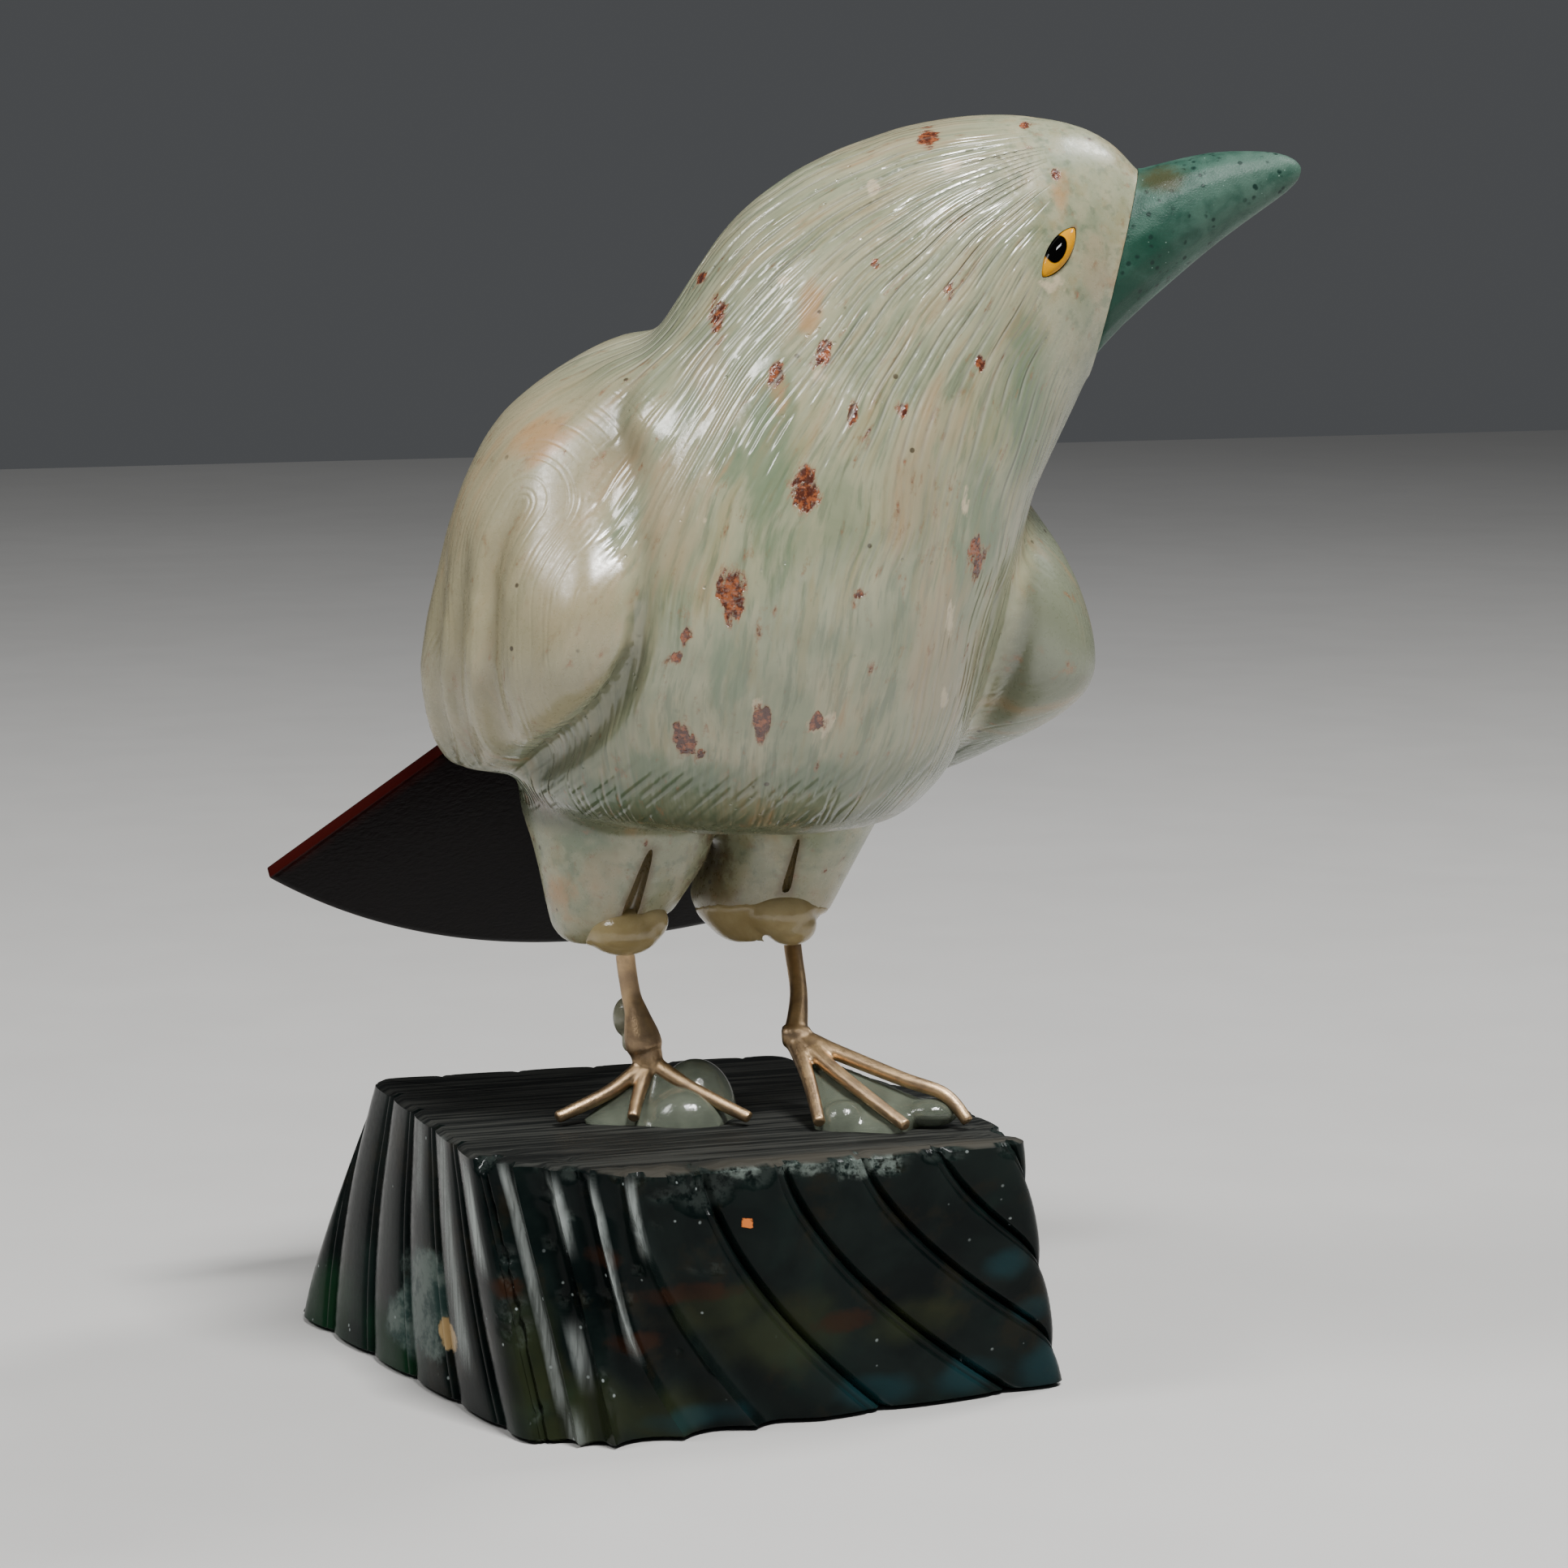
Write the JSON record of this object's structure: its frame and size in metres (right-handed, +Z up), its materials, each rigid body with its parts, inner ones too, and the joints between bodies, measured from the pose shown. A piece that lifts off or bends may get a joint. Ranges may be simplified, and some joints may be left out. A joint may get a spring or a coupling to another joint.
{
  "type": "carved stone bird on a fluted stone block",
  "caption": "Plump songbird carved in pale green stone, its head turned up and aside, on gilt wire legs set in resin on a fluted dark stone block.",
  "frame": {"origin": "middle of the block's flat underside", "axes": "+Z up from the underside, -Y out of the block's front face, +X along the front face to a viewer's right"},
  "size_m": [0.107, 0.0912, 0.1501],
  "materials": {
    "dark_stone": "polished flutes, matt sawn top",
    "sage_stone": "polished, carved with fine feather lines, red-brown inclusions",
    "beak_stone": "polished green aventurine",
    "tail_stone": "polished thin slab, dark red where light comes through its edge",
    "amber_glass": "glossy, black pupil in an amber ring",
    "gilt_wire": "worn gilding",
    "collar_resin": "yellowed clear resin, glossy",
    "pool_resin": "clear greenish grey resin, glossy"
  },
  "bodies": {
    "root": {"base_block": "dark_stone", "bird_body": "sage_stone", "beak": "beak_stone", "tail": "tail_stone", "eye_right": "amber_glass", "eye_left": "amber_glass", "leg_right": "gilt_wire", "leg_left": "gilt_wire", "thigh_resin_right": "collar_resin", "thigh_resin_left": "collar_resin", "foot_resin_right": "pool_resin", "foot_resin_left": "pool_resin", "ankle_resin": "pool_resin"}
  },
  "joints": []
}
